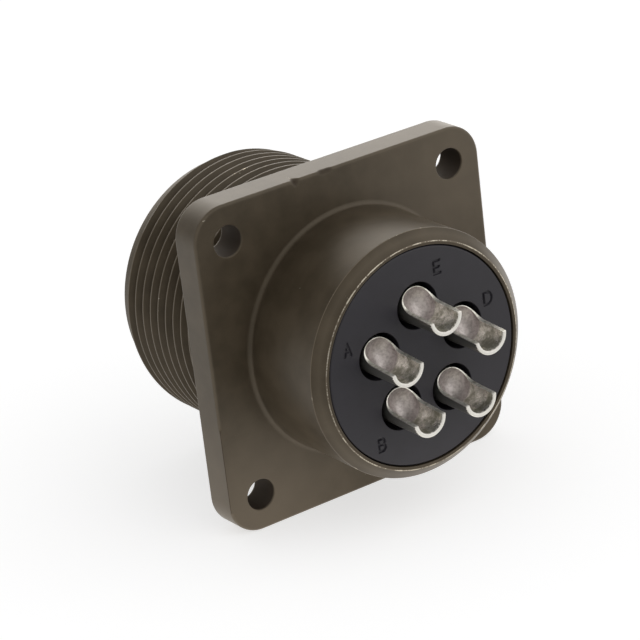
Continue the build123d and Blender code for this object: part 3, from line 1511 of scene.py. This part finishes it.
    def draw_cup(self, draft: Draft) -> Loop:
        """Draws the scooped cup.

        Args:
            draft: Mesh that is being drawn.

        Returns:
            The row of points round the cup where its opening ends.
        """
        bore = [self.floor_length * i / self.SIDE_STATIONS for i in range(self.SIDE_STATIONS)]
        bore[0] = self.tip_rounding
        bore += [self.floor_length, (self.floor_length + self.straight_bore) / 2, self.straight_bore]
        limits = (self.straight_bore, self.inner_end())
        start, end = (acos(self.cut_height(depth) / self.cup_radius) for depth in limits)
        shares = [(i + 1) / self.SCOOP_STATIONS for i in range(self.SCOOP_STATIONS)]
        scoop_turns = [start + (end - start) * share for share in shares]
        back_turns = [end * (1 - (i + 1) / self.BACK_STATIONS) for i in range(self.BACK_STATIONS)]
        scoop, back = (
            [self.depth_of_cut(self.cup_radius * cos(turn)) for turn in turns]
            for turns in (scoop_turns, back_turns)
        )
        depths = bore + scoop + back
        outer = [self.arc(draft, self.cup_radius, depth, True, self.outside_painted_shade) for depth in depths]
        inner = [self.arc(draft, self.bore_radius, depth, True) for depth in bore]
        inner += [self.bowl_row(draft, depth, share) for depth, share in zip(scoop, shares)]
        draft.skin(outer, closed=False)
        draft.skin(inner, closed=False)
        tip = [self.arc(draft, radius, depth, True, self.tip_wear) for radius, depth in self.tip_bead()]
        draft.skin(tip, closed=False)
        cuts = [([row[0] for row in tip], [row[-1] for row in tip])]
        cuts += [self.cut_rows(draft, depth, len(tip)) for depth in depths[1:]]
        for rows in zip(*cuts):
            draft.skin(rows, closed=False)
        return outer[-1]

    def draw_bar(self, draft: Draft, cup_end: Loop) -> None:
        """Draws the turned bar from the cup to the tip of the pin.

        Args:
            draft: Mesh that is being drawn.
            cup_end: Row of points round the cup where its opening ends.
        """
        pin_start = self.shank_end + self.shank_radius - self.pin_radius
        profile = rounded_profile(
            (
                Corner(self.cup_radius, self.tip + self.depth_of_cut(self.cup_radius)),
                Corner(self.cup_radius, self.collar_start),
                Corner(self.collar_radius, self.collar_start, self.collar_edge),
                Corner(self.collar_radius, self.collar_end, self.collar_edge),
                Corner(self.shank_radius, self.collar_end),
                Corner(self.shank_radius, self.shank_end, self.shank_edge),
                Corner(self.pin_radius, pin_start, self.pin_root),
                Corner(self.pin_radius, self.pin_end, self.pin_rounding),
                Corner(0.0, self.pin_end),
            ),
            self.BAR_STEPS,
        )
        rows = [self.arc(draft, radius, station - self.tip, False) for radius, station, _ in profile[1:]]
        draft.skin([cup_end, *rows], closed=False)

    def build(self, material: bpy.types.Material) -> bpy.types.Object:
        """Draws the contact and puts it in the place of its plain solid.

        Args:
            material: Its finish.

        Returns:
            The piece.
        """
        draft = Draft()
        self.draw_bar(draft, self.draw_cup(draft))
        piece = draft.close(f"turned_contact_{self.letter}", material, self.edge_break)
        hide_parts(f"contact_{self.letter}")
        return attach(piece, "root")


@dataclass
class ContactSet:
    """Five contacts on one circle, lettered anticlockwise as seen from the solder cups."""

    letters: str = "abcde"
    circle_radius: float = 5.3
    first_angle: float = 162.0
    finish: SilverPlate = SilverPlate()

    def centres(self) -> dict[str, Pair]:
        """Places of the contacts.

        Returns:
            X and Z of each contact by its letter.
        """
        places = {}
        for i, letter in enumerate(self.letters):
            angle = radians(self.first_angle + 360 / len(self.letters) * i)
            places[letter] = (self.circle_radius * cos(angle), self.circle_radius * sin(angle))
        return places

    def build(self) -> list[bpy.types.Object]:
        """Draws the contacts and returns their pieces."""
        material = self.finish.material()
        return [Contact(letter, centre).build(material) for letter, centre in self.centres().items()]


@dataclass
class RetainingRing:
    """Split ring in front of the insulator. Its solid has the right shape and gets a finish."""

    node: str = "retaining_ring"
    finish: SpringSteel = SpringSteel()

    def dress(self) -> bpy.types.Object:
        """Gives the solid its finish.

        Returns:
            The piece.
        """
        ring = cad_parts[self.node]
        material = self.finish.material()
        if not ring.material_slots:
            ring.data.materials.append(material)
        for slot in ring.material_slots:
            slot.material = material
        return ring


@dataclass(frozen=True)
class Lamp:
    """Broad lamp, far away.

    The azimuth and the elevation say where it stands and the softness how wide it is, all in
    degrees. Its strength is its light on a surface that faces it, where pi is full.
    """

    name: str
    azimuth: float
    elevation: float
    strength: float
    softness: float


@dataclass
class Studio:
    """Pale table, white surroundings, soft lamp and the camera.

    A glow of 1 shows as white. The floor glows round the object, to its right and behind it, and
    lights it as a white tent would. Matt surfaces get the fill's light, and gloss shows the room with
    its softbox. Azimuths and elevations are in degrees.
    """

    floor_level: float = -17.25
    floor_gap: float = 0.02
    floor_size: float = 4000.0
    floor_colour: str = "#cccccc"
    floor_seen: float = 0.62
    table_glow: float = 0.5
    table_start: float = 18.0
    table_end: float = 40.0
    pool_glow: float = 0.5
    pool_reach: float = 42.0
    side_glow: float = 0.55
    side_start: float = 20.0
    side_end: float = 80.0
    fill: float = 0.56
    room: float = 0.55
    softbox: float = 2.4
    softbox_place: Pair = (151.0, 22.0)
    softbox_start: float = 0.63
    softbox_end: float = 0.97
    tent_colour: str = "#fffbf5"
    lamp: Lamp = Lamp("front right", 40.0, 35.0, 0.65, 80.0)
    azimuth: float = -32.983
    elevation: float = 21.824
    roll: float = 6.928
    distance: float = 305.7
    aim: Point = (-2.6387, 2.2584, 1.1435)
    lens: float = 172.18
    sensor: float = 36.0

    CLIP_START = 0.01
    CLIP_END = 20.0

    def ray_kinds(self, tree: Tree) -> tuple[Socket, Node]:
        """Adds nodes that tell the kinds of rays apart.

        Args:
            tree: Node tree of the floor's material or of the world.

        Returns:
            A socket that is 1 for rays from the camera, and a node that is 1 for gloss and glass.
        """
        path = add_node(tree, "LightPath").outputs
        kinds = {0: path["Is Glossy Ray"], 1: path["Is Transmission Ray"]}
        return path["Is Camera Ray"], add_node(tree, "Math", kinds, operation="ADD")

    def rise(self, tree: Tree, place: Source, towards: Vector, start: float, end: float) -> Node:
        """Adds nodes that rise smoothly from 0 to 1 along a direction.

        Args:
            tree: Node tree of the floor's material or of the world.
            place: Socket of the place or the direction.
            towards: Direction of the rise.
            start: Where it leaves 0.
            end: Where it reaches 1.

        Returns:
            The last node.
        """
        along = add_node(tree, "VectorMath", {0: place, 1: tuple(towards)}, operation="DOT_PRODUCT")
        return add_node(tree, "MapRange", ramp(along, start, end), interpolation_type="SMOOTHSTEP")

    def build_world(self) -> None:
        """White surroundings: an even fill, and behind the object a softbox that gloss shows."""
        world = bpy.data.worlds.new("Softbox and fill")
        world.use_nodes = True
        tree = world.node_tree
        tree.nodes.clear()
        seen, mirrored = self.ray_kinds(tree)
        place = add_node(tree, "TexCoord").outputs["Generated"]
        towards = self.direction(*self.softbox_place)
        facing = self.rise(tree, place, towards, self.softbox_start, self.softbox_end)
        tent = layered(tree, Layering.NUMBERS, self.room, [(facing, self.softbox)])
        strength = layered(tree, Layering.NUMBERS, self.fill, [(mirrored, tent), (seen, 1.0)])
        colour = layered(tree, Layering.COLOURS, linear(WHITE), [(mirrored, linear(self.tent_colour))])
        sky = add_node(tree, "Background", {"Color": colour, "Strength": strength})
        add_node(tree, "OutputWorld", {"Surface": sky})
        bpy.context.scene.world = world

    def floor_material(self) -> bpy.types.Material:
        """Pale matt table that reads as white, brightest round the object and to its right.

        Returns:
            The material.
        """
        made, tree, place = new_material("PaleMattTable")
        seen, _ = self.ray_kinds(tree)
        front, right = Vector((0, -1, 0)), Vector((1, 0, 0))
        away = self.rise(tree, place, front, self.table_start * MM, self.table_end * MM)
        table = layered(tree, Layering.NUMBERS, self.table_glow, [(away, 0.0)])
        side = self.rise(tree, place, right, self.side_start * MM, self.side_end * MM)
        distance = add_node(tree, "VectorMath", {0: place}, operation="LENGTH")
        fall = ramp(distance, 0.0, self.pool_reach * MM, self.pool_glow, 0.0)
        unseen = add_node(tree, "MapRange", fall, interpolation_type="SMOOTHSTEP")
        for share, glow in ((side, self.side_glow), (table, 1.0)):
            unseen = add_node(tree, "Math", {0: share, 1: glow, 2: unseen}, operation="MULTIPLY_ADD")
        glow = layered(tree, Layering.NUMBERS, unseen, [(seen, self.floor_seen)])
        colour = layered(tree, Layering.COLOURS, linear(self.tent_colour), [(seen, linear(WHITE))])
        light = add_node(tree, "Emission", {"Color": colour, "Strength": glow})
        matt = add_node(tree, "BsdfDiffuse", {"Color": linear(self.floor_colour)})
        both = add_node(tree, "AddShader", {0: light, 1: matt})
        add_node(tree, "OutputMaterial", {"Surface": both})
        return made

    def build_floor(self) -> None:
        """Flat floor just under the flange's lower edge."""
        half = self.floor_size / 2 * MM
        level = (self.floor_level - self.floor_gap) * MM
        mesh = bpy.data.meshes.new("studio_floor")
        corners = [(-half, -half, level), (half, -half, level), (half, half, level), (-half, half, level)]
        mesh.from_pydata(corners, [], [(0, 1, 2, 3)])
        mesh.materials.append(self.floor_material())
        floor = add_object("studio_floor", mesh)

    def direction(self, azimuth: float, elevation: float) -> Vector:
        """Unit vector from the object towards an azimuth and an elevation."""
        a, e = radians(azimuth), radians(elevation)
        return Vector((sin(a) * cos(e), -cos(a) * cos(e), sin(e)))

    def build_lamp(self) -> None:
        """Adds the broad, far away lamp."""
        light = bpy.data.lights.new(self.lamp.name, "SUN")
        light.energy = self.lamp.strength
        light.angle = radians(self.lamp.softness)
        placed = add_object(self.lamp.name, light)
        towards = self.direction(self.lamp.azimuth, self.lamp.elevation)
        placed.rotation_mode = "QUATERNION"
        placed.rotation_quaternion = towards.to_track_quat("Z", "Y")

    def build_camera(self) -> None:
        """Camera at the photograph's viewing angle."""
        towards = self.direction(self.azimuth, self.elevation)
        level_right = Vector((0, 0, 1)).cross(towards).normalized()
        level_up = towards.cross(level_right)
        roll = radians(self.roll)
        up = level_up * cos(roll) + level_right * sin(roll)
        right = level_right * cos(roll) - level_up * sin(roll)
        lens = bpy.data.cameras.new("camera")
        lens.lens = self.lens
        lens.sensor_width = self.sensor
        lens.clip_start = self.CLIP_START
        lens.clip_end = self.CLIP_END
        camera = add_object("camera", lens)
        place = Vector(self.aim) * MM + towards * self.distance * MM
        turned = Matrix((right, up, towards)).transposed().to_4x4()
        camera.matrix_world = Matrix.Translation(place) @ turned
        bpy.context.scene.camera = camera

    def build(self) -> None:
        """Builds the studio."""
        bpy.context.scene.view_settings.view_transform = "Standard"
        self.build_world()
        self.build_floor()
        self.build_lamp()
        self.build_camera()


def main() -> None:
    """Builds the pieces and the studio, and reports each piece."""
    logging.basicConfig(level=logging.INFO, format="%(name)s: %(message)s")
    contacts = ContactSet()
    pieces = [PlatedShell().build()]
    pieces += Insulator(contacts.centres()).build()
    pieces += contacts.build()
    pieces.append(RetainingRing().dress())
    for piece in pieces:
        log.info("%s: %d faces", piece.name, len(piece.data.polygons))
    Studio().build()


if __name__ == "__main__":
    main()
